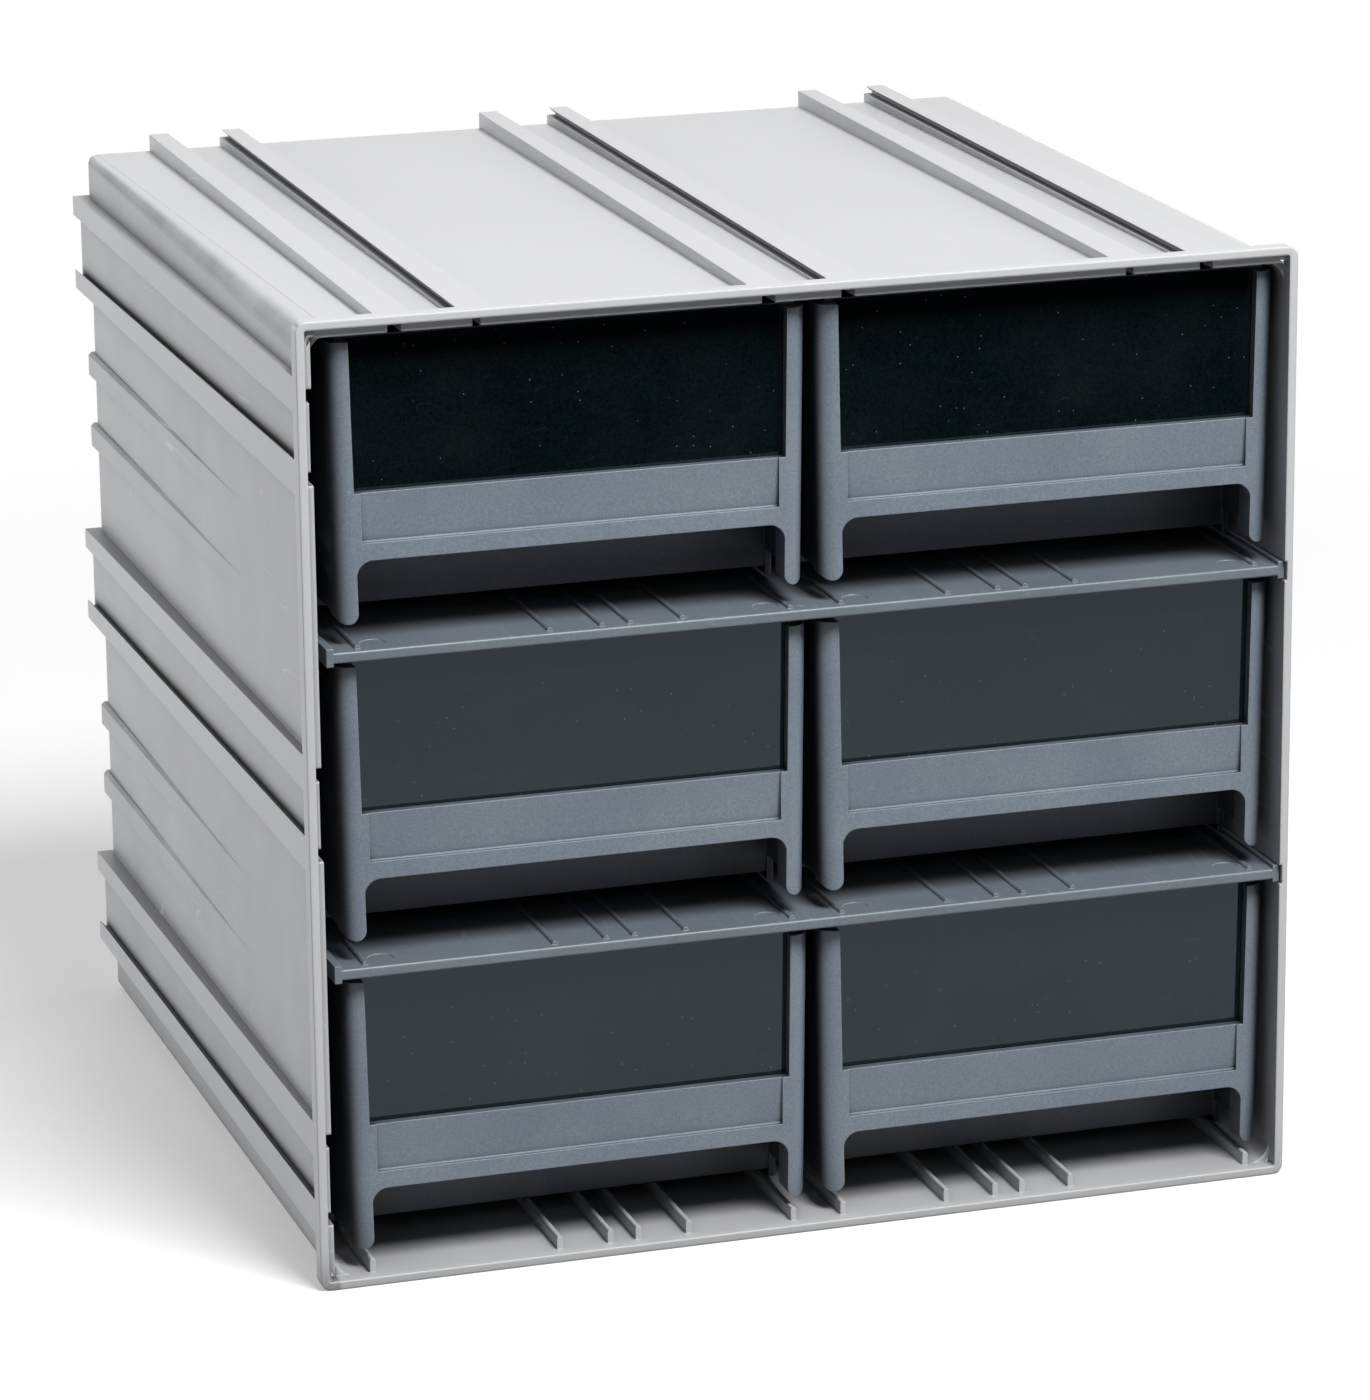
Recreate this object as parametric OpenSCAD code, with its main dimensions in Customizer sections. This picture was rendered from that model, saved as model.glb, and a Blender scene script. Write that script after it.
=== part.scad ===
// Parts bin cabinet: a moulded shell with joining rails on its left side and top, two shelves
// pushed in from the front, and six drawers that slide forward, each with a window in its front.
// Millimetres. +X is right, +Y is back, +Z is up. The origin is the middle of the base.

/* [Shell] */
// Width over the front rim
cabinet_w = 298; // [294:0.5:306]
// Height over the front rim
cabinet_h = 284; // [284:0.5:290]
// Depth from the rim to the back
cabinet_d = 288; // [270:1:300]
// Wall thickness of the shell
wall = 1.9; // [1.7:0.1:2]
// Width of the front rim
rim_w = 2.5; // [2.4:0.05:2.5]
// Step from the rim in to the right wall and up to the base
skin = 0.7; // [0.6:0.05:0.8]
// Depth of the front rim
rim_d = 5; // [4:0.5:8]
// Outside corner radius of the front rim
rim_r = 3.2; // [3:0.1:4]
// How far the left and top walls end behind the rim
lip_set = 1.8; // [1:0.1:2.5]
// How far the left wall leans in by the back
side_draft = 2.6; // [2:0.1:3]
// How far the top wall drops by the back
top_draft = 2; // [1:0.1:2.2]
// Step from the rim down to the top wall
top_step = 3.1; // [2.9:0.1:3.3]
// Radius of the long outside edges at the front
edge_front_r = 8; // [6:0.5:9]
// Radius of the long outside edges at the back
edge_back_r = 3; // [2.5:0.1:6]
// Radius of the inside corners of the mouth
mouth_r = 1.2; // [0.8:0.1:1.6]
// Chamfer round the back wall
back_chamfer = 1.6; // [0.5:0.1:2]

/* [Rails] */
// Distance between the middles of two rail pairs
rail_pitch = 109; // [106:0.5:111]
// Distance between the two rails of a pair
rail_pair = 23.6; // [22:0.1:25]
// Rail width at the front
rail_front_w = 10.4; // [8:0.1:11]
// Rail width at the back
rail_back_w = 6; // [5.5:0.1:7]
// How far the top rails are moved right of the middle
rail_shift = 0.4; // [0:0.1:1]
// How far the rail faces lie below the rim
rail_set = 0.1; // [0:0.1:0.4]
// Height of the slanted nose of a hook rail
hook_nose = 1.2; // [1:0.1:1.4]
// Height of the slot under the hook nose
hook_slot = 1.1; // [0.8:0.1:1.3]
// Depth of the slot under the hook nose
hook_deep = 2; // [1.5:0.1:2.5]
// Width of the hollow inside a rail
hollow_w = 4; // [3.5:0.1:4.2]
// Width of the hollow inside the second and fifth top rails
hollow_small_w = 2.4; // [2:0.1:4]

/* [Shelves] */
// Shelf thickness
shelf_t = 3.2; // [3:0.1:3.4]
// Setback of the shelf front edge from the rim
shelf_set = 1.5; // [1:0.1:3]
// Width of the shelf end flanges
flange_w = 2; // [1.6:0.1:2.4]
// Height of the end flange above the shelf
flange_up = 1.2; // [0.8:0.1:1.4]
// Height of the end flange below the shelf
flange_down = 0.8; // [0.4:0.1:1]
// Height of the shelf ribs
shelf_rib_h = 1; // [0.6:0.1:1.4]
// Height of the floor ribs
floor_rib_h = 4; // [3:0.1:4]
// Thickness of the ribs
rib_t = 1.7; // [1.4:0.1:2]
// Distance of the ribs from the middle of their bay
rib_half = 7.7; // [7:0.1:8.5]

/* [Drawers] */
// Setback of the drawer fronts from the rim
drawer_set = 5.8; // [5:0.1:8]
// Length of a drawer
drawer_len = 274; // [240:1:274]
// Gap between a drawer and the side of its bay
drawer_gap = 2.8; // [2.5:0.05:4.1]
// Outward lean of the sides in degrees
lean = 0.9; // [0.6:0.05:0.9]
// Thickness of the drawer walls
drawer_t = 1.8; // [1.5:0.1:2.2]
// Gap from the drawer sides up to the next row
side_gap = 11.1; // [9.1:1:33.1]
// Width of the front posts
post_w = 6.15; // [5.8:0.05:6.6]
// Radius of the outer front edge of the posts
post_r = 5.3; // [4:0.1:5.5]
// Depth of the front posts
post_d = 8.2; // [7.8:0.1:10]
// Height of the post ends above the floor
leg_low = 6.4; // [5:0.1:8]
// Gap from the post tops up to the next row
post_gap = 5.8; // [5.7:0.1:9]
// Height of the arch under the front bar
arch_top = 24.6; // [20:0.1:28]
// Radius of the arch corners
arch_r = 4.8; // [3:0.1:6]
// Height of the top of the front bar
bar_top = 44.1; // [40:0.1:60]
// Distance between the label recess and the posts
label_set = 1.35; // [1.2:0.05:12]
// Height of the lower edge of the label recess
label_low = 29.7; // [28:0.1:34]
// Depth of the label recess at its lower edge
label_deep = 1.4; // [0.8:0.1:1.8]
// Distance from the front to the lower front wall
grip_d = 31.5; // [24:0.5:40]

/* [Windows] */
// Thickness of the window panel
window_t = 2.2; // [1.6:0.1:2.2]
// Gap from the window panel up to the next row
window_gap = 4.7; // [4.6:0.1:7]
// How far the panel reaches into the posts
window_in = 2.9; // [2:0.1:3.2]
// Distance from the front to the window groove
groove_set = 3.2; // [2.6:0.1:3.4]

/* [Quality] */
// Number of segments of round features
facets = 64; // [32:8:96]

/* [Hidden] */
$fn = facets;
fit = 0.3;
root = 0.8;
bar_in = 0.05;
// Joined shapes run lap into each other, and a cut runs past out of the face that it opens.
lap = 1;
past = 5;
// A small step that keeps two faces out of one plane.
hair = 0.1;

front_y = -cabinet_d / 2;
back_y = cabinet_d / 2;
rim_x = cabinet_w / 2;

// The outside walls: left and top lean with depth, right and bottom run straight.
left_x = -rim_x + rim_w + hair;
right_x = rim_x - skin;
base_z = skin;
top_z = cabinet_h - top_step;
side_slope = side_draft / cabinet_d;
top_slope = -top_draft / cabinet_d;

// The inside: its width is shared by two columns of drawers.
rows = 3;
bay_slack = hair;
guide_in = 4.2;
in_right = right_x - wall;
floor_z = base_z + wall;
in_w = in_right - bay_slack - left_x - wall - guide_in;
bay = in_w / 2;
mid_x = in_right - bay_slack - bay;
in_back = back_y - wall;
row_pitch = (top_z - wall - floor_z + shelf_t - fit) / rows;
row_floors = [floor_z, floor_z + row_pitch, floor_z + 2 * row_pitch];
rows_four = rows * row_pitch / 4;

rail_offsets = [
    rail_pitch + rail_pair / 2, rail_pitch - rail_pair / 2, rail_pair / 2,
    -rail_pair / 2, -rail_pitch + rail_pair / 2, -rail_pitch - rail_pair / 2
];
rail_angle = atan((rail_front_w - rail_back_w) / 2 / cabinet_d);
rail_root = 8;
hook_drop = hook_nose + hook_slot;
hook_bury = 0.4;
ledge_over = 0.7;
rim_back = front_y + rim_d;
mouth_back = rim_back - lap / 2;
collar_t = 1;
rail_y = front_y + lip_set + lap;
rail_len = back_y - rail_y;
web_t = 1.2;
strip_w = 7;
strip_t = 2;
strip_y = front_y + 2;
strip_len = back_y - strip_y - back_chamfer;

// Heights of the shelf grooves in the left wall, as shelf tops.
groove_tops = [row_floors[1], row_floors[2], floor_z + rows_four, floor_z + 3 * rows_four];
flange_low = shelf_t + flange_down;
bulge_set = 3.3;
bulge_x = -rim_x + bulge_set;
bulge_half = 4.2;
bulge_cut = 1;
bulge_in = 6;
ledge_t = 1.6;
ledge_in = 1.6;
ledge_set = 20;

end_in_left = 1.9;
end_in_right = 0.6;
shelf_left = mid_x - bay - end_in_left;
shelf_right = in_right + end_in_right;
shelf_front = front_y + shelf_set;
shelf_back = in_back - 1;
shelf_edge = 0.7;
shelf_step = 0.3;
shelf_step_y = front_y + 39;
mark_r = 3.8;
mark_y = front_y + 9;
mark_gap = 5.8;
mark_deep = 0.2;
rib_front = front_y + 4;
rib_offsets = [
    rib_half, in_w / 6 - rib_half, in_w / 6 + rib_half,
    in_w / 4 - rib_half, in_w / 4 + rib_half, bay - rib_half
];

drawer_half = bay / 2 - drawer_gap;
side_top = row_pitch - side_gap;
side_low = 2;
post_top = row_pitch - post_gap;
window_top = row_pitch - window_gap;
label_w = 2 * (drawer_half - post_w - label_set);
label_top_deep = 0.4;
label_r = 0.5;
groove_t = window_t + 2 * fit;
groove_deep = 4;
groove_low = bar_top - groove_deep;
groove_floor = 2;
lip_t = 1.8;

function left_at(y) = left_x + (y - front_y) * side_slope;
function top_at(y) = top_z + (y - front_y) * top_slope;
function between(pair, y) = pair[0] + (pair[1] - pair[0]) * (y - front_y) / cabinet_d;

// A rounded rectangle given by two opposite corners.
module rounded(a, b, r) {
    translate([a[0] + r, a[1]]) square([b[0] - a[0] - 2 * r, b[1] - a[1]]);
    translate([a[0], a[1] + r]) square([b[0] - a[0], b[1] - a[1] - 2 * r]);
    for (x = [a[0] + r, b[0] - r], z = [a[1] + r, b[1] - r]) translate([x, z]) circle(r);
}

// Draws a shape given in X and Z, and runs it back from y0 to y1.
module along_y(y0, y1) {
    translate([0, y1, 0]) rotate([90, 0, 0]) linear_extrude(y1 - y0) children();
}

// Draws a shape given in Y and Z, and runs it right from x0 to x1.
module along_x(x0, x1) {
    translate([x0, 0, 0]) rotate([90, 0, 90]) linear_extrude(x1 - x0) children();
}

// A block between the four walls from y0 to y1, with its back edges cut by c. The side walls are
// moved in by side[0] at the front and side[1] at the back, and the base and top by level.
module wall_block(side, level, y0, y1, c) {
    intersection() {
        linear_extrude(cabinet_h)
            polygon([
                [left_at(y0) + between(side, y0), y0], [right_x - between(side, y0), y0],
                [right_x - between(side, y1 - c), y1 - c], [right_x - between(side, y1) - c, y1],
                [left_at(y1) + between(side, y1) + c, y1], [left_at(y1 - c) + between(side, y1 - c), y1 - c]
            ]);
        along_x(-rim_x, rim_x)
            polygon([
                [y0, base_z + between(level, y0)], [y1 - c, base_z + between(level, y1 - c)],
                [y1, base_z + between(level, y1) + c], [y1, top_at(y1) - between(level, y1) - c],
                [y1 - c, top_at(y1 - c) - between(level, y1 - c)], [y0, top_at(y0) - between(level, y0)]
            ]);
    }
}

// A tapered round bar along one long edge of the shell, just inside the two walls that it joins.
// Its middle runs from x, z at the front to x + dx, z + dz at the back.
module edge_bar(x, z, dx, dz, r) {
    run = norm([dx, cabinet_d, dz]);
    over = 10;
    spare = over * (r[1] - r[0]) / run;
    translate([x, front_y, z])
        rotate([asin(dz / run), 0, -atan(dx / cabinet_d)]) rotate([-90, 0, 0]) translate([0, 0, -over])
            cylinder(r1 = r[0] - spare - bar_in, r2 = r[1] + spare - bar_in, h = run + 2 * over);
}

// The shell shape moved in by inset, with long edges of radius r[0] at the front and r[1] at the back.
module tub(inset, r, y0, y1, c) {
    grow = [-3, -3];
    flat = [inset, inset];
    round = [inset + r[0], inset + r[1]];
    slim = r[1] - r[0];
    intersection() {
        wall_block(grow, grow, y0, y1, c > 0 ? c - grow[0] : 0);
        union() {
            wall_block(round, flat, y0 - lap, y1 + lap, 0);
            wall_block(flat, round, y0 - lap, y1 + lap, 0);
            edge_bar(left_x + round[0], top_z - round[0], side_draft + slim, -top_draft - slim, r);
            edge_bar(left_x + round[0], base_z + round[0], side_draft + slim, slim, r);
            edge_bar(right_x - round[0], top_z - round[0], -slim, -top_draft - slim, r);
            edge_bar(right_x - round[0], base_z + round[0], -slim, slim, r);
        }
    }
}

// The front rim, and behind it a collar that ties it to the left and top walls.
module rim() {
    along_y(front_y, rim_back)
        difference() {
            rounded([-rim_x, 0], [rim_x, cabinet_h], rim_r);
            rounded([-rim_x + rim_w, rim_w], [rim_x - rim_w, cabinet_h - rim_w], rim_r - rim_w);
        }
    along_y(front_y + lip_set, rim_back)
        difference() {
            rounded([-rim_x, 0], [rim_x, cabinet_h], rim_r);
            rounded(
                [-rim_x + rim_w + collar_t, rim_w], [rim_x - rim_w, cabinet_h - top_step - collar_t],
                rim_r - rim_w
            );
        }
}

// Section of the hooked edge of a rail, in s across the rail and t outward, with the face at t = 0.
module hook_edge() {
    tip = rail_back_w / 2;
    polygon([
        [tip - lap, 0], [-tip, 0], [hook_nose - tip, -hook_nose], [hook_deep - tip, -hook_nose],
        [hook_deep - tip, -hook_drop], [-tip - ledge_over, -hook_drop], [-tip - ledge_over, -rail_root],
        [tip - lap, -rail_root]
    ]);
}

// A rail seen along its length, widening to the front. A hook rail has a slot along its left edge.
module rail(hook) {
    left = hook ? hook_deep + hook_bury : 0;
    translate([0, back_y, 0]) {
        translate([0, 0, -rail_root]) linear_extrude(rail_root)
            polygon([
                [left - rail_back_w / 2, 0], [rail_back_w / 2, 0],
                [rail_front_w / 2, -rail_len], [left - rail_front_w / 2, -rail_len]
            ]);
        if (hook)
            intersection() {
                rotate([0, 0, -rail_angle]) along_y(-cabinet_d, lap) hook_edge();
                along_y(-rail_len, 0) square(4 * rail_root, center = true);
            }
    }
}

// Places a rail pair set on one face: s is measured from the middle of the face.
module rail_row() {
    for (i = [0 : 5]) translate([-rail_offsets[i], 0, 0]) rail(i % 2 == 1);
}

module rails_top() {
    translate([rail_shift, 0, cabinet_h - rail_set]) rail_row();
}

module rails_left() {
    translate([-rim_x + rail_set, 0, cabinet_h / 2]) rotate([0, -90, 0]) mirror([1, 0, 0]) rail_row();
    for (i = [1, 3, 5])
        translate([-rim_x + rail_set + hook_drop, rail_y, cabinet_h / 2 + rail_offsets[i]])
            cube([rail_root - hook_drop, rail_len, rail_pair]);
}

// Low strips on the plain right side and base, the base ones being the feet.
module strips() {
    for (s = rail_offsets) {
        translate([rim_x - strip_t, strip_y, cabinet_h / 2 + s - strip_w / 2])
            cube([strip_t, strip_len, strip_w]);
        translate([rail_shift + s - strip_w / 2, strip_y, 0])
            cube([strip_w, strip_len, strip_t]);
    }
}

// Outside swellings of the shelf grooves.
module bulges() {
    for (t = groove_tops)
        translate([0, 0, t - (flange_low - flange_up) / 2])
            along_y(rim_back, back_y)
                polygon([
                    [bulge_x, bulge_cut - bulge_half], [bulge_x, bulge_half - bulge_cut],
                    [bulge_x + bulge_cut, bulge_half], [bulge_x + bulge_in, bulge_half],
                    [bulge_x + bulge_in, -bulge_half], [bulge_x + bulge_cut, -bulge_half]
                ]);
    for (t = [row_floors[1], row_floors[2]])
        translate([rim_x - strip_t, strip_y, t - (flange_low - flange_up) / 2 - bulge_half])
            cube([strip_t, strip_len, 2 * bulge_half]);
}

// Hollows left inside the rails and the side bands, open at the front as notches in the lip.
module rail_hollows() {
    run = in_back - front_y;
    for (i = [0 : 5]) {
        w = (i == 1 || i == 4) ? hollow_small_w : hollow_w;
        translate([rail_shift - rail_offsets[i] - w / 2, front_y, top_z - 2 * wall - top_draft])
            cube([w, run, cabinet_h - rim_w - hair - top_z + 2 * wall + top_draft]);
        translate([left_x, front_y, cabinet_h / 2 + rail_offsets[i] - hollow_w / 2])
            cube([2 * wall + side_draft, run, hollow_w]);
    }
    for (i = [1, 3, 5])
        translate([left_x + web_t, front_y, cabinet_h / 2 + rail_offsets[i]])
            cube([2 * wall + side_draft - web_t, run, rail_pair]);
}

// Grooves that hold the shelf ends.
module shelf_grooves() {
    run = in_back - front_y;
    for (t = groove_tops)
        translate([bulge_x + wall, front_y, t - flange_low - fit])
            cube([wall + side_draft, run, flange_low + flange_up + 2 * fit]);
    for (t = [row_floors[1], row_floors[2]])
        translate([in_right - lap, front_y - lap, t - flange_low - fit])
            cube([lap + shelf_right + fit - in_right, run + lap, flange_low + flange_up + 2 * fit]);
}

// Ledges above and below each left groove; the lower one carries the shelf end.
module shelf_ledges() {
    y0 = front_y + ledge_set;
    for (t = groove_tops, z = [t - flange_low - fit - ledge_t, t + flange_up + fit])
        translate([0, 0, z]) linear_extrude(ledge_t)
            polygon([
                [left_at(y0) + root, y0], [shelf_left + ledge_in, y0],
                [shelf_left + ledge_in, in_back + root], [left_at(in_back) + root, in_back + root]
            ]);
}

// Low guide ribs with rounded tops, run back from the front at height z.
module ribs(z, h, y1) {
    for (s = [-1, 1], o = rib_offsets)
        translate([mid_x + s * o, 0, z])
            along_y(rib_front, y1) {
                translate([-rib_t / 2, -root]) square([rib_t, h - rib_t / 2 + root]);
                translate([0, h - rib_t / 2]) circle(rib_t / 2);
            }
}

module cabinet_shell() {
    color([0.80, 0.81, 0.82]) {
        difference() {
            union() {
                rim();
                tub(0, [edge_front_r, edge_back_r], front_y + lip_set, back_y, back_chamfer);
                rails_top();
                rails_left();
                strips();
                bulges();
            }
            tub(wall, [edge_front_r - wall, edge_back_r - wall], front_y - past, in_back, 0);
            tub(wall, [mouth_r, mouth_r], front_y - past, mouth_back, 0);
            rail_hollows();
            shelf_grooves();
        }
        shelf_ledges();
        ribs(floor_z, floor_rib_h, in_back + root);
    }
}

// A shelf: flat plate, end flanges, guide ribs, and shallow round marks near the front.
module shelf(t) {
    translate([0, 0, t]) difference() {
        union() {
            along_x(shelf_left, shelf_right) {
                translate([shelf_front + shelf_edge, -shelf_t])
                    square([shelf_step_y - shelf_front - shelf_edge, shelf_t]);
                translate([shelf_front, shelf_edge - shelf_t])
                    square([2 * shelf_edge, shelf_t - 2 * shelf_edge]);
                for (z = [-shelf_edge, shelf_edge - shelf_t])
                    translate([shelf_front + shelf_edge, z]) circle(shelf_edge);
                translate([shelf_step_y - lap, -shelf_t])
                    square([shelf_back - shelf_step_y + lap, shelf_t - shelf_step]);
            }
            for (x = [shelf_left, shelf_right - flange_w])
                translate([x, shelf_front, -flange_low])
                    cube([flange_w, shelf_back - shelf_front, flange_low + flange_up]);
            ribs(-shelf_step, shelf_rib_h + shelf_step, shelf_back - lap);
        }
        for (s = [-1, 1], o = [rib_half + mark_gap, bay - rib_half - mark_gap])
            translate([mid_x + s * o, mark_y, -mark_deep]) cylinder(r = mark_r, h = lap);
    }
}

module shelf_lower() {
    color([0.49, 0.52, 0.54]) shelf(row_floors[1]);
}

module shelf_upper() {
    color([0.49, 0.52, 0.54]) shelf(row_floors[2]);
}

// Carries a shape built about the front of one drawer to its row and column.
module place(row, column) {
    translate([mid_x + (column - 0.5) * bay, front_y + drawer_set, row_floors[row]]) children();
}

// Mirrors a right hand shape to both sides and leans it outward.
module both_sides() {
    for (s = [0, 1]) mirror([s, 0, 0]) translate([drawer_half, 0, 0]) rotate([0, lean, 0]) children();
}

// Plan of a front post, its outer face at x = 0.
module post_plan() {
    translate([-post_w, 0]) square([post_w - post_r, post_d]);
    translate([-post_r, post_r]) square([post_r, post_d - post_r]);
    intersection() {
        translate([-post_r, post_r]) circle(post_r);
        translate([-post_r, 0]) square(post_r);
    }
}

// Keeps the part of a shape between two heights.
module level(low, high) {
    intersection() {
        children();
        translate([-cabinet_w / 2, -lap, low]) cube([cabinet_w, drawer_len + 2 * lap, high - low]);
    }
}

// Front posts with round lower ends.
module posts() {
    leg_z = leg_low + post_w / 2;
    level(0, post_top) both_sides() intersection() {
        linear_extrude(post_top + past) post_plan();
        along_y(-lap, post_d + lap) {
            translate([-post_w / 2, leg_z]) circle(post_w / 2);
            translate([-post_w, leg_z]) square([post_w, post_top]);
        }
    }
}

// Thin sides behind the posts, deeper behind the lower front wall.
module sides() {
    leg_z = leg_low + post_w / 2;
    level(side_low, side_top) both_sides() {
        translate([-drawer_t, post_r, leg_z]) cube([drawer_t, drawer_len - post_r, side_top]);
        translate([-drawer_t, grip_d - lap, 0]) cube([drawer_t, drawer_len - grip_d + lap, leg_z + lap]);
    }
}

// The bar across the front, with the window groove behind it and the grip ledge below it.
module front_bar() {
    half = drawer_half - (post_w + post_r) / 2 + (arch_top + bar_top) / 2 * tan(lean);
    back = groove_set + groove_t + lip_t;
    along_x(-half, half) {
        translate([0, arch_top]) square([groove_set, bar_top - arch_top]);
        translate([lap, groove_low - groove_floor]) square([back - lap, groove_floor]);
        translate([back - lip_t, groove_low - groove_floor])
            square([lip_t, bar_top - groove_low + groove_floor]);
        translate([0, arch_top]) square([post_d, drawer_t]);
    }
    // rounded corners of the arch
    for (s = [0, 1]) mirror([s, 0, 0]) {
        edge = drawer_half - post_w + arch_top * tan(lean);
        translate([edge - arch_r, 0, arch_top - arch_r])
            along_y(0, groove_set)
                difference() {
                    square(arch_r + lap / 2);
                    circle(arch_r);
                }
    }
}

// Grip ledge, lower front wall, floor and back wall of the bin.
module bin() {
    half = drawer_half - drawer_t / 2;
    low = floor_rib_h + fit;
    along_x(-half, half) {
        translate([post_d - lap, arch_top]) square([grip_d + drawer_t - post_d + lap, drawer_t]);
        translate([grip_d, low]) square([drawer_t, arch_top + drawer_t - low]);
        translate([grip_d, low]) square([drawer_len - grip_d - drawer_t / 2, drawer_t]);
    }
    along_y(drawer_len - drawer_t, drawer_len)
        polygon([
            [-half, low], [half, low],
            [half + side_top * tan(lean), side_top], [-half - side_top * tan(lean), side_top]
        ]);
}

module drawer_body() {
    difference() {
        union() {
            posts();
            sides();
            front_bar();
            bin();
        }
        // window grooves in the posts
        both_sides()
            translate([-post_w - lap, groove_set, groove_low])
                cube([lap + window_in + fit, groove_t, post_top]);
        // label recess
        along_x(-label_w / 2, label_w / 2)
            polygon([
                [-lap, label_low], [label_deep - label_r, label_low],
                [label_deep - 0.3 * label_r, label_low + 0.3 * label_r], [label_deep, label_low + label_r],
                [label_top_deep, bar_top + lap], [-lap, bar_top + lap]
            ]);
    }
}

module window() {
    low = groove_low + fit;
    half = drawer_half - post_w + window_in;
    along_y(groove_set + fit, groove_set + fit + window_t)
        polygon([
            [-half - low * tan(lean), low], [half + low * tan(lean), low],
            [half + window_top * tan(lean), window_top], [-half - window_top * tan(lean), window_top]
        ]);
}

module paint_drawer() {
    color([0.46, 0.50, 0.54]) children();
}

module paint_window() {
    color([0.12, 0.14, 0.16]) children();
}

module drawer_bottom_left() {
    paint_drawer() place(0, 0) drawer_body();
}

module drawer_bottom_right() {
    paint_drawer() place(0, 1) drawer_body();
}

module drawer_middle_left() {
    paint_drawer() place(1, 0) drawer_body();
}

module drawer_middle_right() {
    paint_drawer() place(1, 1) drawer_body();
}

module drawer_top_left() {
    paint_drawer() place(2, 0) drawer_body();
}

module drawer_top_right() {
    paint_drawer() place(2, 1) drawer_body();
}

module window_bottom_left() {
    paint_window() place(0, 0) window();
}

module window_bottom_right() {
    paint_window() place(0, 1) window();
}

module window_middle_left() {
    paint_window() place(1, 0) window();
}

module window_middle_right() {
    paint_window() place(1, 1) window();
}

module window_top_left() {
    paint_window() place(2, 0) window();
}

module window_top_right() {
    paint_window() place(2, 1) window();
}

cabinet_shell();
shelf_lower();
shelf_upper();
drawer_bottom_left();
drawer_bottom_right();
drawer_middle_left();
drawer_middle_right();
drawer_top_left();
drawer_top_right();
window_bottom_left();
window_bottom_right();
window_middle_left();
window_middle_right();
window_top_left();
window_top_right();
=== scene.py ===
"""Parts bin cabinet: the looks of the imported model, in the order in which the real one is put together.

A light grey moulded shell stands on the floor, two shelves are pushed into it, and six blue-grey
drawers, each with a dark window in its front, slide on the shelves and on the floor of the shell.
"""

import math

import bpy
from mathutils import Matrix, Vector


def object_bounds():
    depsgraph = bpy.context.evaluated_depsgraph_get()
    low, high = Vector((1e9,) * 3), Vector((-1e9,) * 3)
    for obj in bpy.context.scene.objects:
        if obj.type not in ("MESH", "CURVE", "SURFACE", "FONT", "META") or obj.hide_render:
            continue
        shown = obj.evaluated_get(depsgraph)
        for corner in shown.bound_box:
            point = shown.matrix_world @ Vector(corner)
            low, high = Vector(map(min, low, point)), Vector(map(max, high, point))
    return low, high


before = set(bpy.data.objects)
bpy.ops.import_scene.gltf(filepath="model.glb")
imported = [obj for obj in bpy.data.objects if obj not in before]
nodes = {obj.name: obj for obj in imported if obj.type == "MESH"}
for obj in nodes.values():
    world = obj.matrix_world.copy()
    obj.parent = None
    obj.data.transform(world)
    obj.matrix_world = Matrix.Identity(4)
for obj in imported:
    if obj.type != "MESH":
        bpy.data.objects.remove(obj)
cad_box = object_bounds()
scene = bpy.context.scene

# ---------------------------------------------------------------- the view
# The photographer stands two metres in front of the cabinet and a little to the left, with the
# camera above it and a long lens, so that the front, the top and the left side all show.
EYE = (-0.5496, -1.7572, 0.6480)
TURN, DIP, ROLL = 17.6, 15.9, -0.58
FOCAL_PIXELS, PHOTO_HEIGHT, FILM = 6182.1, 1400, 36.0

camera = bpy.data.objects.new("camera", bpy.data.cameras.new("camera"))
scene.collection.objects.link(camera)
camera.matrix_world = (
    Matrix.Translation(EYE)
    @ Matrix.Rotation(math.radians(-TURN), 4, "Z")
    @ Matrix.Rotation(math.radians(90 - DIP), 4, "X")
    @ Matrix.Rotation(math.radians(ROLL), 4, "Z")
)
camera.data.sensor_width = FILM
camera.data.lens = FOCAL_PIXELS / PHOTO_HEIGHT * FILM
camera.data.clip_start, camera.data.clip_end = 0.05, 50
scene.camera = camera

# ---------------------------------------------------------------- the shell
# One big injection moulding in light grey high-impact polystyrene. Its faces come off a finely
# eroded steel mould, so they are satin with a barely visible grain, and its edges are slightly
# rounded. Its sides are scuffed in patches. Painted shade greys the left side and darkens the top,
# the creases and the hollows, and painted highlights pale the edges and the front of the rim.
MM = 0.001


def linear(code):
    """A colour written as six hex digits of sRGB, turned to the linear values that shaders take."""
    srgb = [int(code[i : i + 2], 16) / 255 for i in (0, 2, 4)]
    return [c / 12.92 if c <= 0.04045 else ((c + 0.055) / 1.055) ** 2.4 for c in srgb] + [1.0]


def add(tree, kind, sockets, give=0, **settings):
    """Adds a node and returns one of its outputs, or the node itself where give is None. settings are
    its own properties; sockets maps an input to its value, or to the output that is linked to it."""
    made = tree.nodes.new(kind)
    for name, value in settings.items():
        setattr(made, name, value)
    for key, value in sockets.items():
        if isinstance(value, bpy.types.NodeSocket):
            tree.links.new(value, made.inputs[key])
        else:
            made.inputs[key].default_value = value
    return made if give is None else made.outputs[give]


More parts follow.
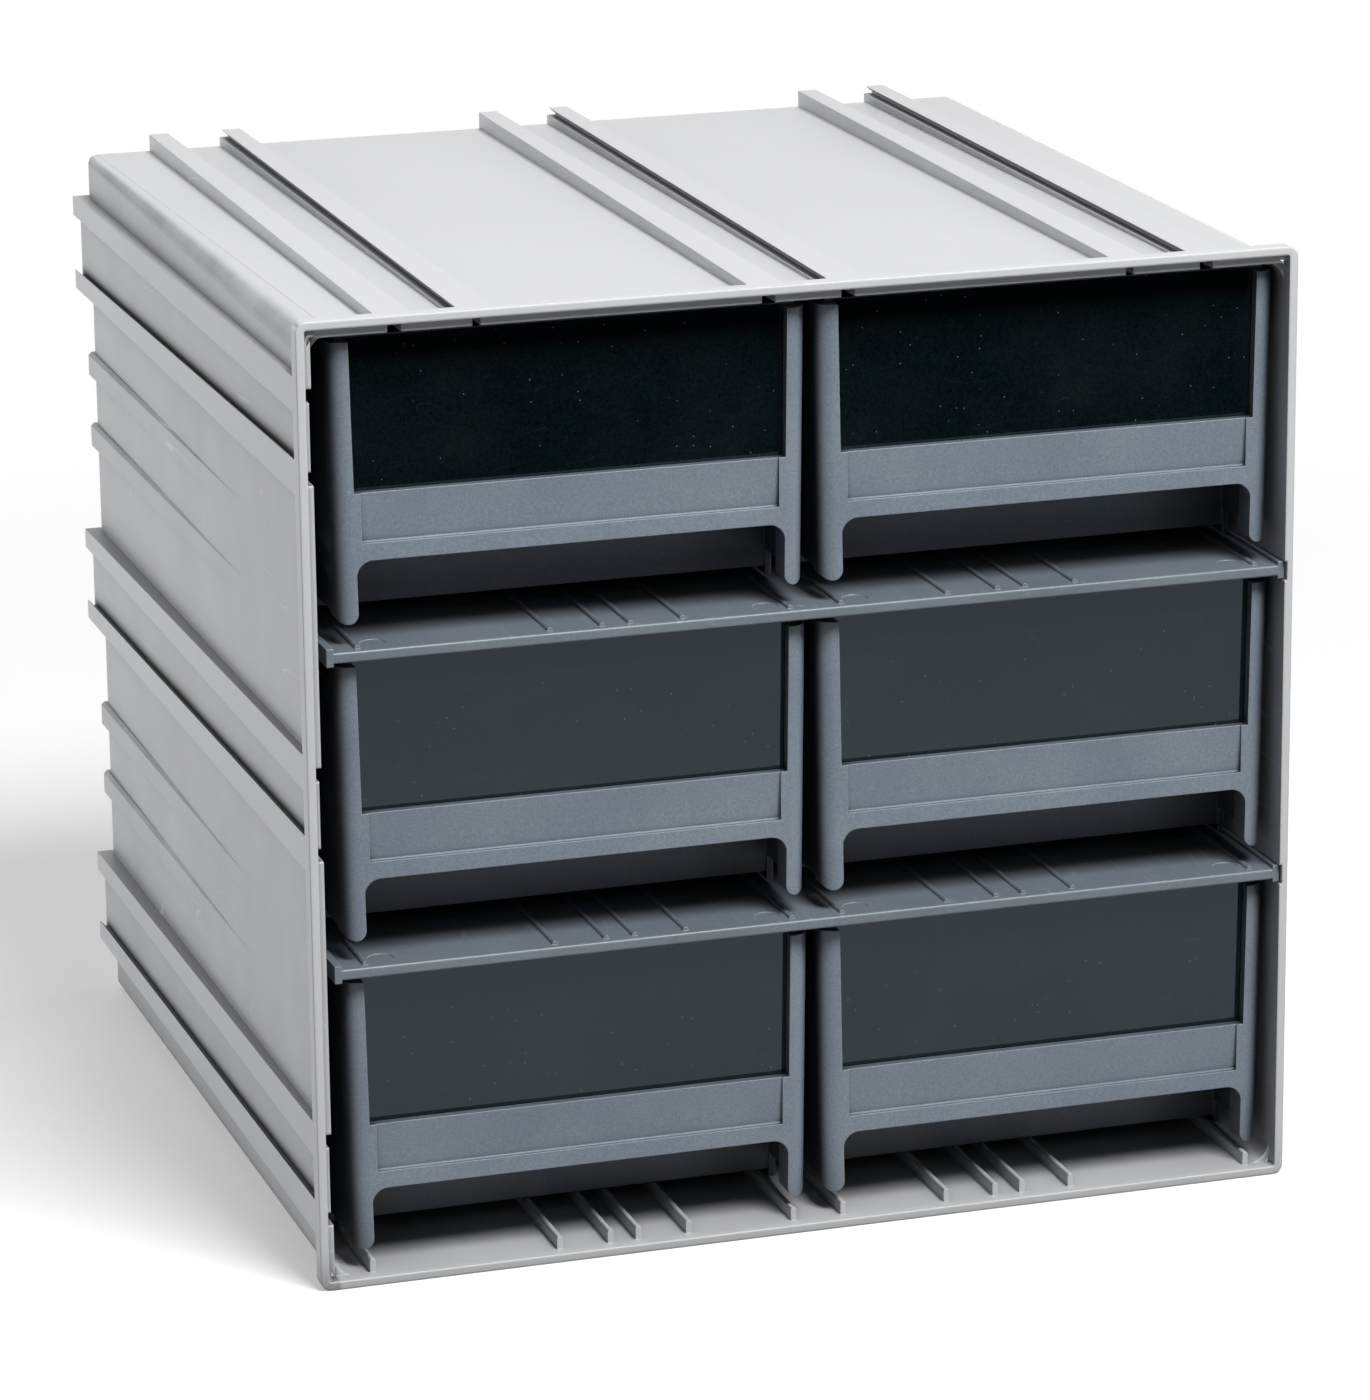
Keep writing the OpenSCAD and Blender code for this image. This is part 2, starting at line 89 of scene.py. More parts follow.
def hairlines(tree, place, size, turn, width, seed):
    """1 on thin wandering lines and 0 elsewhere: the lines are where a stretched noise field passes
    through its middle value. size is the spacing in mm along X, Y and Z after the turn, and a second
    field breaks the lines into pieces."""
    sockets = {"Vector": place, "Location": (seed, 0.7 * seed, 1.3 * seed), "Rotation": turn}
    turned = add(tree, "ShaderNodeMapping", {**sockets, "Scale": [1 / (s * MM) for s in size]})
    field = add(tree, "ShaderNodeTexNoise", {"Vector": turned, "Scale": 1.0, "Detail": 0.0})
    off = add(tree, "ShaderNodeMath", {0: field, 1: 0.5}, operation="SUBTRACT")
    away = add(tree, "ShaderNodeMath", {0: off}, operation="ABSOLUTE")
    line = add(tree, "ShaderNodeMapRange", {"Value": away, "From Max": width, "To Min": 1.0, "To Max": 0.0})
    breaks = add(tree, "ShaderNodeTexNoise", {"Vector": turned, "Scale": 1.0, "Detail": 1.0})
    kept = add(tree, "ShaderNodeMapRange", {"Value": breaks, "From Min": 0.5, "From Max": 0.56})
    return add(tree, "ShaderNodeMath", {0: line, 1: kept}, operation="MULTIPLY")


def specks(tree, place, size, radius, share):
    """1 on scattered round specks. They sit in cells size mm wide, are radius mm wide, and only the given
    share of the cells has one."""
    cells = add(tree, "ShaderNodeTexVoronoi", {"Vector": place, "Scale": 1 / (size * MM)}, give=None)
    reach = {"From Min": 0.5 * radius / size, "From Max": radius / size, "To Min": 1.0, "To Max": 0.0}
    dot = add(tree, "ShaderNodeMapRange", {"Value": cells.outputs["Distance"], **reach})
    drawn = add(tree, "ShaderNodeSeparateColor", {0: cells.outputs["Color"]})
    picked = add(
        tree,
        "ShaderNodeMapRange",
        {"Value": drawn, "From Min": 1 - share - 0.01, "From Max": 1 - share},
    )
    return add(tree, "ShaderNodeMath", {0: dot, 1: picked}, operation="MULTIPLY")


def shade_in(tree, tone, dark, share, low, high):
    """Paints shade into a colour where the surface is sheltered by others up to 30 mm away: by share
    where its openness is low, and not at all where it is high."""
    free = add(tree, "ShaderNodeAmbientOcclusion", {"Distance": 30 * MM}, give="AO", samples=6)
    hidden = add(
        tree,
        "ShaderNodeMapRange",
        {"Value": free, "From Min": low, "From Max": high, "To Min": share, "To Max": 0.0},
    )
    return add(tree, "ShaderNodeMix", {0: hidden, 6: tone, 7: dark}, give=2, data_type="RGBA")


def edges(tree, rounded, free):
    """1 along the sharp outer edges: there the rounded normal leaves the true one, and the spot is open."""
    true = add(tree, "ShaderNodeNewGeometry", {}, give="True Normal")
    along = add(tree, "ShaderNodeVectorMath", {0: rounded, 1: true}, give="Value", operation="DOT_PRODUCT")
    bent = add(
        tree,
        "ShaderNodeMapRange",
        {"Value": along, "From Min": 0.8, "From Max": 0.99, "To Min": 1.0, "To Max": 0.0},
    )
    outer = add(tree, "ShaderNodeMapRange", {"Value": free, "From Min": 0.35, "From Max": 0.6})
    return add(tree, "ShaderNodeMath", {0: bent, 1: outer}, operation="MULTIPLY")


def facing(tree, axis, low, high):
    """0 where the normal's part along an axis is low, passing to 1 where it is high."""
    normal = add(tree, "ShaderNodeNewGeometry", {}, give="Normal")
    part = add(tree, "ShaderNodeSeparateXYZ", {0: normal}, give=axis)
    return add(tree, "ShaderNodeMapRange", {"Value": part, "From Min": low, "From Max": high})


def new_material(name):
    """An empty material, its node tree, and the Object coordinates that its patterns read."""
    material = bpy.data.materials.new(name)
    material.use_nodes = True
    tree = material.node_tree
    tree.nodes.clear()
    return material, tree, add(tree, "ShaderNodeTexCoord", {}, give="Object")


def dress(name, material):
    """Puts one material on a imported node."""
    mesh = nodes[name].data
    mesh.materials.clear()
    mesh.materials.append(material)


# Satin light grey with broad soft clouds in the tone, and the colours of the painted shade, the painted
# highlights, the dust and the scratches.
SHELL_TONES, SHELL_TOP_SHADE, SHELL_SIDE_SHADE, SHELL_HIGHLIGHT = ("D1D2D5", "DDDEE1"), "B4B4B6", "86888C", "E6E7E9"
SHELL_DUST_AND_SHADE, SHELL_SCRATCH = "38393B", "E8E9EB"
SHELL_CLOUD, SIDE_SHADE_PATCH, SCUFF, SHELL_CREASE, RAIL_SHADE_REACH = 70, 30, 55, 2.5, 12
# How strongly each layer of painted shade, painted highlight, dust and wear covers the plastic,
# and how much smoother a scratch is.
SHELL_TOP_SHADE_SHARE, FRONT_SHARE, DEEP_SHARE, RAIL_SHADE_SHARE, CREASE_SHARE = 0.66, 0.6, 0.5, 0.62, 0.95
EDGE_HIGHLIGHT_SHARE, SCRATCH_SHARE, SPECK_SHARE, SCRATCH_POLISH = 0.8, 0.6, 0.35, 0.3
# The rim at the front has rounder edges than the rest of the shell.
RIM_FACE, RIM_STEP, RIM_EDGE, SHELL_EDGE = 3, 0.5, 1.0, 0.45
# The rails' outer faces lie within RAIL_SKIN of the cabinet's left end, and the wall that carries them
# starts WALL_OUT further in. Each look passes into the next over a step.
RAIL_SKIN, RAIL_STEP, WALL_OUT, WALL_STEP = 0.3, 0.5, 5, 1
front = cad_box[0].y
shell_plastic, tree, place = new_material("moulded_light_grey_polystyrene")
parts = add(tree, "ShaderNodeSeparateXYZ", {0: place}, give=None)
across, depth = parts.outputs["X"], parts.outputs["Y"]
at_rim = {"Value": depth, "From Min": front + RIM_FACE * MM, "From Max": front + (RIM_FACE + RIM_STEP) * MM}
radius = add(tree, "ShaderNodeMapRange", {**at_rim, "To Min": RIM_EDGE * MM, "To Max": SHELL_EDGE * MM})
rounded = add(tree, "ShaderNodeBevel", {"Radius": radius}, samples=6)
free = add(tree, "ShaderNodeAmbientOcclusion", {"Distance": SHELL_CREASE * MM}, give="AO", samples=6)
cloud = add(tree, "ShaderNodeTexNoise", {"Vector": place, "Scale": 1 / (SHELL_CLOUD * MM), "Detail": 3.0})
soft = add(tree, "ShaderNodeMapRange", {"Value": cloud, "From Min": 0.3, "From Max": 0.7})
pair = {6: linear(SHELL_TONES[0]), 7: linear(SHELL_TONES[1])}
tone = add(tree, "ShaderNodeMix", {0: soft, **pair}, give=2, data_type="RGBA")

# Painted shade: what faces up is painted darker, to hold back the light from above.
up = facing(tree, "Z", 0.85, 0.97)
up_darkening = add(tree, "ShaderNodeMath", {0: up, 1: SHELL_TOP_SHADE_SHARE}, operation="MULTIPLY")
tone = add(tree, "ShaderNodeMix", {0: up_darkening, 6: tone, 7: linear(SHELL_TOP_SHADE)}, give=2, data_type="RGBA")

# Painted shade greys the left side in soft patches, most of all along the long edge where it rounds
# over into the top. The outer faces of its rails are left out of it and stay paler.
rounding = add(tree, "ShaderNodeMapRange", {"Value": facing(tree, "Z", 0.0, 0.25), "To Min": 0.3})
to_left = facing(tree, "X", -0.35, -0.75)
sideways = add(tree, "ShaderNodeMath", {0: to_left, 1: rounding}, operation="MULTIPLY")
side_shade_noise = add(tree, "ShaderNodeTexNoise", {"Vector": place, "Scale": 1 / (SIDE_SHADE_PATCH * MM), "Detail": 3.0})
patchy = add(
    tree,
    "ShaderNodeMapRange",
    {"Value": side_shade_noise, "From Min": 0.3, "From Max": 0.7, "To Min": 0.6, "To Max": 1.0},
)
side_shade = add(tree, "ShaderNodeMath", {0: sideways, 1: patchy}, operation="MULTIPLY")
rail_face = cad_box[0].x + RAIL_SKIN * MM
below = {"Value": across, "From Min": rail_face, "From Max": rail_face + RAIL_STEP * MM}
below = add(tree, "ShaderNodeMapRange", below)
side_shade = add(tree, "ShaderNodeMath", {0: side_shade, 1: below}, operation="MULTIPLY")
tone = add(tree, "ShaderNodeMix", {0: side_shade, 6: tone, 7: linear(SHELL_SIDE_SHADE)}, give=2, data_type="RGBA")

# Painted highlight: the front of the rim is painted paler.
rim_front = add(tree, "ShaderNodeMapRange", {**at_rim, "To Min": FRONT_SHARE, "To Max": 0.0})
to_front = facing(tree, "Y", -0.5, -0.9)
rim_highlight = add(tree, "ShaderNodeMath", {0: to_front, 1: rim_front}, operation="MULTIPLY")
tone = add(tree, "ShaderNodeMix", {0: rim_highlight, 6: tone, 7: linear(SHELL_HIGHLIGHT)}, give=2, data_type="RGBA")

# Painted shade darkens the deep parts of the mouth and the creases. The slots of the left rails get
# less of it than those on the top, with a soft band of painted shade beside them.
tone = shade_in(tree, tone, linear(SHELL_DUST_AND_SHADE), DEEP_SHARE, low=0.2, high=0.75)
wall = rail_face + WALL_OUT * MM
wall_out = {"From Min": wall, "From Max": wall + WALL_STEP * MM, "To Min": 1.0, "To Max": 0.0}
outside = add(tree, "ShaderNodeMapRange", {"Value": across, **wall_out})
near = add(tree, "ShaderNodeAmbientOcclusion", {"Distance": RAIL_SHADE_REACH * MM}, give="AO", samples=6)
rail_shade = add(
    tree,
    "ShaderNodeMapRange",
    {"Value": near, "From Min": 0.5, "From Max": 0.97, "To Min": RAIL_SHADE_SHARE, "To Max": 0.0},
)
rail_shade = add(tree, "ShaderNodeMath", {0: outside, 1: rail_shade}, operation="MULTIPLY")
tone = add(tree, "ShaderNodeMix", {0: rail_shade, 6: tone, 7: linear(SHELL_DUST_AND_SHADE)}, give=2, data_type="RGBA")
crease = add(
    tree,
    "ShaderNodeMapRange",
    {"Value": free, "From Min": 0.15, "From Max": 0.5, "To Min": CREASE_SHARE, "To Max": 0.0},
)
less_shade = add(tree, "ShaderNodeMapRange", {"Value": outside, "To Min": 1.0, "To Max": 0.6})
crease = add(tree, "ShaderNodeMath", {0: crease, 1: less_shade}, operation="MULTIPLY")
tone = add(tree, "ShaderNodeMix", {0: crease, 6: tone, 7: linear(SHELL_DUST_AND_SHADE)}, give=2, data_type="RGBA")

# Outer edges are painted paler, a painted highlight. The scratches are paler too, and rare on the top.
edge_highlight = add(tree, "ShaderNodeMath", {0: edges(tree, rounded, free), 1: EDGE_HIGHLIGHT_SHARE}, operation="MULTIPLY")
tone = add(tree, "ShaderNodeMix", {0: edge_highlight, 6: tone, 7: linear(SHELL_HIGHLIGHT)}, give=2, data_type="RGBA")
lines = hairlines(tree, place, size=(14, 60, 9), turn=(0.5, 0.2, 0.0), width=0.012, seed=3.1)
scuff = add(tree, "ShaderNodeTexNoise", {"Vector": place, "Scale": 1 / (SCUFF * MM), "Detail": 1.0})
scuff = {"Value": scuff, "From Min": 0.46, "From Max": 0.6, "To Max": SCRATCH_SHARE}
scuff = add(tree, "ShaderNodeMapRange", scuff)
rubbed = add(tree, "ShaderNodeMath", {0: lines, 1: scuff}, operation="MULTIPLY")
rarer = add(tree, "ShaderNodeMapRange", {"Value": up, "To Min": 1.0, "To Max": 0.1})
rubbed = add(tree, "ShaderNodeMath", {0: rubbed, 1: rarer}, operation="MULTIPLY")
tone = add(tree, "ShaderNodeMix", {0: rubbed, 6: tone, 7: linear(SHELL_SCRATCH)}, give=2, data_type="RGBA")
dirt = specks(tree, place, size=9, radius=0.4, share=0.12)
dirt = add(tree, "ShaderNodeMath", {0: dirt, 1: SPECK_SHARE}, operation="MULTIPLY")
tone = add(tree, "ShaderNodeMix", {0: dirt, 6: tone, 7: linear(SHELL_DUST_AND_SHADE)}, give=2, data_type="RGBA")

# The real grain is about 0.1 mm; it is drawn at 0.8 mm, as a pixel of the picture is 0.3 mm.
SHELL_GRAIN, SHELL_GRAIN_DEEP = 0.8, 0.1
grain = add(
    tree,
    "ShaderNodeTexNoise",
    {"Vector": place, "Scale": 1 / (SHELL_GRAIN * MM), "Detail": 2.0, "Roughness": 0.6},
)
bumps = {"Height": grain, "Normal": rounded, "Strength": 0.12, "Distance": SHELL_GRAIN_DEEP * MM}
relief = add(tree, "ShaderNodeBump", bumps)
gloss = add(
    tree,
    "ShaderNodeMapRange",
    {"Value": cloud, "From Min": 0.3, "From Max": 0.7, "To Min": 0.42, "To Max": 0.52},
)
polished = add(tree, "ShaderNodeMath", {0: rubbed, 1: SCRATCH_POLISH}, operation="MULTIPLY")
gloss = add(tree, "ShaderNodeMath", {0: gloss, 1: polished}, operation="SUBTRACT")
satin = {"Base Color": tone, "Roughness": gloss, "IOR": 1.59, "Normal": relief}
add(tree, "ShaderNodeOutputMaterial", {"Surface": add(tree, "ShaderNodeBsdfPrincipled", satin)}, give=None)
dress("cabinet_shell", shell_plastic)

# ---------------------------------------------------------------- the shelves
# Two flat mouldings in a darker grey of the same plastic, pushed into grooves of the shell from the
# front. Low ribs guide the drawers, which have left fine lines on the plates. Painted shade darkens
# the sheltered parts and creases, and a painted highlight pales the edges.
SHELF_TONES, SHELF_SETTLED = ("747F87", "808B93"), "68707A"
SHELF_HIGHLIGHT_AND_WEAR, SHELF_DUST_AND_SHADE = "B4BBC1", "1C1F22"
SHELF_CLOUD, SHELF_CREASE, SHELF_EDGE, SHELF_GRAIN, SHELF_GRAIN_DEEP = 40, 2.0, 0.4, 0.8, 0.1
SHELF_SETTLED_SHARE, SHELF_DEEP_SHARE, SHELF_CREASE_SHARE = 0.6, 0.6, 0.8
SHELF_HIGHLIGHT_SHARE, SHELF_PIT_SHARE, SLID_SHARE = 0.75, 0.14, 0.25
shelf_plastic, tree, place = new_material("moulded_mid_grey_polystyrene")
rounded = add(tree, "ShaderNodeBevel", {"Radius": SHELF_EDGE * MM}, samples=6)
free = add(tree, "ShaderNodeAmbientOcclusion", {"Distance": SHELF_CREASE * MM}, give="AO", samples=6)
cloud = add(tree, "ShaderNodeTexNoise", {"Vector": place, "Scale": 1 / (SHELF_CLOUD * MM), "Detail": 3.0})
soft = add(tree, "ShaderNodeMapRange", {"Value": cloud, "From Min": 0.3, "From Max": 0.7})
pair = {6: linear(SHELF_TONES[0]), 7: linear(SHELF_TONES[1])}
tone = add(tree, "ShaderNodeMix", {0: soft, **pair}, give=2, data_type="RGBA")
up_darkening = {0: facing(tree, "Z", 0.5, 0.9), 1: SHELF_SETTLED_SHARE}
up_darkening = add(tree, "ShaderNodeMath", up_darkening, operation="MULTIPLY")
tone = add(tree, "ShaderNodeMix", {0: up_darkening, 6: tone, 7: linear(SHELF_SETTLED)}, give=2, data_type="RGBA")
# Painted shade where the plate is sheltered, and in its creases.
tone = shade_in(tree, tone, linear(SHELF_DUST_AND_SHADE), SHELF_DEEP_SHARE, low=0.1, high=0.5)
crease = add(
    tree,
    "ShaderNodeMapRange",
    {"Value": free, "From Min": 0.15, "From Max": 0.5, "To Min": SHELF_CREASE_SHARE, "To Max": 0.0},
)
tone = add(tree, "ShaderNodeMix", {0: crease, 6: tone, 7: linear(SHELF_DUST_AND_SHADE)}, give=2, data_type="RGBA")
# Painted highlight: the outer edges are painted paler.
edge_highlight = {0: edges(tree, rounded, free), 1: SHELF_HIGHLIGHT_SHARE}
edge_highlight = add(tree, "ShaderNodeMath", edge_highlight, operation="MULTIPLY")
tone = add(tree, "ShaderNodeMix", {0: edge_highlight, 6: tone, 7: linear(SHELF_HIGHLIGHT_AND_WEAR)}, give=2, data_type="RGBA")
# The grain is as on the shell, and drawn as coarse.
grain = add(
    tree,
    "ShaderNodeTexNoise",
    {"Vector": place, "Scale": 1 / (SHELF_GRAIN * MM), "Detail": 2.0, "Roughness": 0.6},
)
pits = add(
    tree,
    "ShaderNodeMapRange",
    {"Value": grain, "From Min": 0.35, "From Max": 0.65, "To Min": SHELF_PIT_SHARE, "To Max": 0.0},
)
tone = add(tree, "ShaderNodeMix", {0: pits, 6: tone, 7: linear(SHELF_DUST_AND_SHADE)}, give=2, data_type="RGBA")
# Sliding marks run front to back, about 60 mm long and 3 mm apart.
slid = hairlines(tree, place, size=(3, 60, 3), turn=(0.0, 0.0, 0.0), width=0.02, seed=1.7)
slid = add(tree, "ShaderNodeMath", {0: slid, 1: SLID_SHARE}, operation="MULTIPLY")
tone = add(tree, "ShaderNodeMix", {0: slid, 6: tone, 7: linear(SHELF_HIGHLIGHT_AND_WEAR)}, give=2, data_type="RGBA")
bumps = {"Height": grain, "Normal": rounded, "Strength": 0.12, "Distance": SHELF_GRAIN_DEEP * MM}
relief = add(tree, "ShaderNodeBump", bumps)
gloss = add(
    tree,
    "ShaderNodeMapRange",
    {"Value": cloud, "From Min": 0.3, "From Max": 0.7, "To Min": 0.36, "To Max": 0.46},
)
satin = {"Base Color": tone, "Roughness": gloss, "IOR": 1.59, "Normal": relief}
add(tree, "ShaderNodeOutputMaterial", {"Surface": add(tree, "ShaderNodeBsdfPrincipled", satin)}, give=None)
for name in ("shelf_lower", "shelf_upper"):
    dress(name, shelf_plastic)

# ---------------------------------------------------------------- the drawers
# Six identical open bins, moulded in blue-grey polypropylene in a spark-eroded mould: a fine sandy
# grain, a soft shine, and edges that a finger finds slightly rounded. Painted shade darkens their
# corners and hollows, such as those of the label recess, and a painted highlight pales their edges.
DRAWER_TONES, DRAWER_HIGHLIGHT, DRAWER_DUST_AND_SHADE, DRAWER_LINT = ("8793A0", "94A0AB"), "B6C0C9", "10161A", "C4CACF"
DRAWER_CLOUD, DRAWER_CREASE, DRAWER_EDGE = 35, 2.0, 0.4
DRAWER_PIT_SHARE, DRAWER_DEEP_SHARE, DRAWER_CREASE_SHARE = 0.24, 0.95, 0.8
DRAWER_HIGHLIGHT_SHARE, DRAWER_LINT_SHARE = 0.6, 0.5
# Eroded grain: 0.2 mm in the real mould, drawn at 0.6 mm, two pixels of the picture.
DRAWER_GRAIN, DRAWER_GRAIN_DEEP = 0.6, 0.1
drawer_plastic, tree, place = new_material("moulded_blue_grey_polypropylene")
rounded = add(tree, "ShaderNodeBevel", {"Radius": DRAWER_EDGE * MM}, samples=6)
free = add(tree, "ShaderNodeAmbientOcclusion", {"Distance": DRAWER_CREASE * MM}, give="AO", samples=6)
cloud = add(tree, "ShaderNodeTexNoise", {"Vector": place, "Scale": 1 / (DRAWER_CLOUD * MM), "Detail": 3.0})
soft = add(tree, "ShaderNodeMapRange", {"Value": cloud, "From Min": 0.3, "From Max": 0.7})
pair = {6: linear(DRAWER_TONES[0]), 7: linear(DRAWER_TONES[1])}
tone = add(tree, "ShaderNodeMix", {0: soft, **pair}, give=2, data_type="RGBA")
grain = add(
    tree,
    "ShaderNodeTexNoise",
    {"Vector": place, "Scale": 1 / (DRAWER_GRAIN * MM), "Detail": 2.0, "Roughness": 0.7},
)
pits = add(
    tree,
    "ShaderNodeMapRange",
    {"Value": grain, "From Min": 0.35, "From Max": 0.65, "To Min": DRAWER_PIT_SHARE, "To Max": 0.0},
)
tone = add(tree, "ShaderNodeMix", {0: pits, 6: tone, 7: linear(DRAWER_DUST_AND_SHADE)}, give=2, data_type="RGBA")
# Painted shade in the hollows and creases.
tone = shade_in(tree, tone, linear(DRAWER_DUST_AND_SHADE), DRAWER_DEEP_SHARE, low=0.35, high=0.85)
crease = add(
    tree,
    "ShaderNodeMapRange",
    {"Value": free, "From Min": 0.2, "From Max": 0.6, "To Min": DRAWER_CREASE_SHARE, "To Max": 0.0},
)
tone = add(tree, "ShaderNodeMix", {0: crease, 6: tone, 7: linear(DRAWER_DUST_AND_SHADE)}, give=2, data_type="RGBA")
# Painted highlight: the outer edges are painted paler.
edge_highlight = {0: edges(tree, rounded, free), 1: DRAWER_HIGHLIGHT_SHARE}
edge_highlight = add(tree, "ShaderNodeMath", edge_highlight, operation="MULTIPLY")
tone = add(tree, "ShaderNodeMix", {0: edge_highlight, 6: tone, 7: linear(DRAWER_HIGHLIGHT)}, give=2, data_type="RGBA")
lint = specks(tree, place, size=7, radius=0.35, share=0.08)
lint = add(tree, "ShaderNodeMath", {0: lint, 1: DRAWER_LINT_SHARE}, operation="MULTIPLY")
tone = add(tree, "ShaderNodeMix", {0: lint, 6: tone, 7: linear(DRAWER_LINT)}, give=2, data_type="RGBA")
bumps = {"Height": grain, "Normal": rounded, "Strength": 0.25, "Distance": DRAWER_GRAIN_DEEP * MM}
relief = add(tree, "ShaderNodeBump", bumps)
gloss = add(
    tree,
    "ShaderNodeMapRange",
    {"Value": grain, "From Min": 0.3, "From Max": 0.7, "To Min": 0.38, "To Max": 0.48},
)
sandy = {"Base Color": tone, "Roughness": gloss, "IOR": 1.49, "Normal": relief}
add(tree, "ShaderNodeOutputMaterial", {"Surface": add(tree, "ShaderNodeBsdfPrincipled", sandy)}, give=None)
for row in ("bottom", "middle", "top"):
    for column in ("left", "right"):
        dress(f"drawer_{row}_{column}", drawer_plastic)

# ---------------------------------------------------------------- the windows
# Flat panels of smoked polystyrene, so dark that they look black, dropped into grooves of the drawer
# fronts from above. They are polished, so they mirror what stands in front of them, with a little
# dust and fine wiping scratches, and the moulded edge of each panel is painted paler, a painted highlight.
WINDOW_TONES, WINDOW_TINT, WINDOW_DUST_AND_HIGHLIGHT = ("050D0E", "0E1A1C"), "D6EBFF", "7C878E"
WINDOW_CREASE, WINDOW_EDGE, WINDOW_FILM = 1.5, 0.6, 25
WINDOW_LINT_SHARE, WIPED_SHARE, FILM_MOST, WINDOW_HIGHLIGHT_SHARE = 0.6, 0.05, 0.02, 0.7
# The smoke in the plastic is a little uneven; its mottle of 0.3 mm is drawn at 0.7 mm.
SMOKE = 0.7
window_plastic, tree, place = new_material("moulded_smoked_polystyrene")
rounded = add(tree, "ShaderNodeBevel", {"Radius": WINDOW_EDGE * MM}, samples=6)
free = add(tree, "ShaderNodeAmbientOcclusion", {"Distance": WINDOW_CREASE * MM}, give="AO", samples=6)
lint = specks(tree, place, size=2.4, radius=0.26, share=0.3)
lint = add(tree, "ShaderNodeMath", {0: lint, 1: WINDOW_LINT_SHARE}, operation="MULTIPLY")
wiped = hairlines(tree, place, size=(22, 30, 5), turn=(0.0, 0.9, 0.0), width=0.006, seed=5.3)
wiped = add(tree, "ShaderNodeMath", {0: wiped, 1: WIPED_SHARE}, operation="MULTIPLY")
dust_and_highlight = add(tree, "ShaderNodeMath", {0: lint, 1: wiped}, operation="MAXIMUM")
haze = add(tree, "ShaderNodeTexNoise", {"Vector": place, "Scale": 1 / (WINDOW_FILM * MM), "Detail": 3.0})
haze = {"Value": haze, "From Min": 0.45, "From Max": 0.75, "To Max": FILM_MOST}
haze = add(tree, "ShaderNodeMapRange", haze)
dust_and_highlight = add(tree, "ShaderNodeMath", {0: dust_and_highlight, 1: haze}, operation="MAXIMUM")
# Painted highlight: the edges are painted pale, in the colour of the dust.
edge_highlight = {0: edges(tree, rounded, free), 1: WINDOW_HIGHLIGHT_SHARE}
edge_highlight = add(tree, "ShaderNodeMath", edge_highlight, operation="MULTIPLY")
dust_and_highlight = add(tree, "ShaderNodeMath", {0: dust_and_highlight, 1: edge_highlight}, operation="MAXIMUM")
smoke = {"Vector": place, "Scale": 1 / (SMOKE * MM), "Detail": 2.0, "Roughness": 0.7}
smoke = add(tree, "ShaderNodeTexNoise", smoke)
smoke = add(tree, "ShaderNodeMapRange", {"Value": smoke, "From Min": 0.35, "From Max": 0.65})
pair = {6: linear(WINDOW_TONES[0]), 7: linear(WINDOW_TONES[1])}
tone = add(tree, "ShaderNodeMix", {0: smoke, **pair}, give=2, data_type="RGBA")
tone = add(tree, "ShaderNodeMix", {0: dust_and_highlight, 6: tone, 7: linear(WINDOW_DUST_AND_HIGHLIGHT)}, give=2, data_type="RGBA")
gloss = add(tree, "ShaderNodeMapRange", {"Value": dust_and_highlight, "From Max": 0.5, "To Min": 0.05, "To Max": 0.3})
polish = {"Base Color": tone, "Roughness": gloss, "IOR": 1.55, "Normal": rounded}
polish["Specular Tint"] = linear(WINDOW_TINT)
add(tree, "ShaderNodeOutputMaterial", {"Surface": add(tree, "ShaderNodeBsdfPrincipled", polish)}, give=None)
for row in ("bottom", "middle", "top"):
    for column in ("left", "right"):
        dress(f"window_{row}_{column}", window_plastic)

# ---------------------------------------------------------------- the studio
# A sheet of white paper lies under the cabinet and ends 0.77 m in front of it, on a dark floor, which
# shows in reflections alone. Sizes and distances here are in metres.
PAPER_FRONT, REACH, FLOOR_DROP = 0.77, 6, 0.002


def flat(name, y0, y1, z):
    """A level rectangle, as wide as the studio."""
    mesh = bpy.data.meshes.new(name)
    mesh.from_pydata([(-REACH, y0, z), (REACH, y0, z), (REACH, y1, z), (-REACH, y1, z)], [], [(0, 1, 2, 3)])
    made = bpy.data.objects.new(name, mesh)
    scene.collection.objects.link(made)
    return made


# The paper is matt. It glows white to the camera and in reflections: fully from GLOW_FAR outwards, and
# by GLOW_LEAST nearer than GLOW_NEAR, where the shadow stays. It is white as the camera and glossy
# plastic see it, and grey as it lights the object.
PAPER_SEEN, PAPER_LIT = "FFFFFF", "646464"
GLOW_NEAR, GLOW_FAR, GLOW_LEAST = 0.35, 0.9, 0.35
paper = flat("paper", front - PAPER_FRONT, REACH, cad_box[0].z)
paper_white, tree, place = new_material("white_background_paper")
rays = add(tree, "ShaderNodeLightPath", {}, give=None).outputs
seen = {0: rays["Is Camera Ray"], 1: rays["Is Glossy Ray"]}
seen = add(tree, "ShaderNodeMath", seen, operation="MAXIMUM")
pair = {6: linear(PAPER_LIT), 7: linear(PAPER_SEEN)}
tint = add(tree, "ShaderNodeMix", {0: seen, **pair}, give=2, data_type="RGBA")
matt = add(tree, "ShaderNodeBsdfDiffuse", {"Color": tint})
far = add(tree, "ShaderNodeVectorMath", {0: place}, give="Value", operation="LENGTH")
fade = {"Value": far, "From Min": GLOW_NEAR, "From Max": GLOW_FAR, "To Min": GLOW_LEAST}
fade = add(tree, "ShaderNodeMapRange", fade)
share = add(tree, "ShaderNodeMath", {0: fade, 1: seen}, operation="MULTIPLY")
glow = add(tree, "ShaderNodeEmission", {"Color": (1, 1, 1, 1), "Strength": 1.0})
both = add(tree, "ShaderNodeMixShader", {0: share, 1: matt, 2: glow})
add(tree, "ShaderNodeOutputMaterial", {"Surface": both}, give=None)
paper.data.materials.append(paper_white)

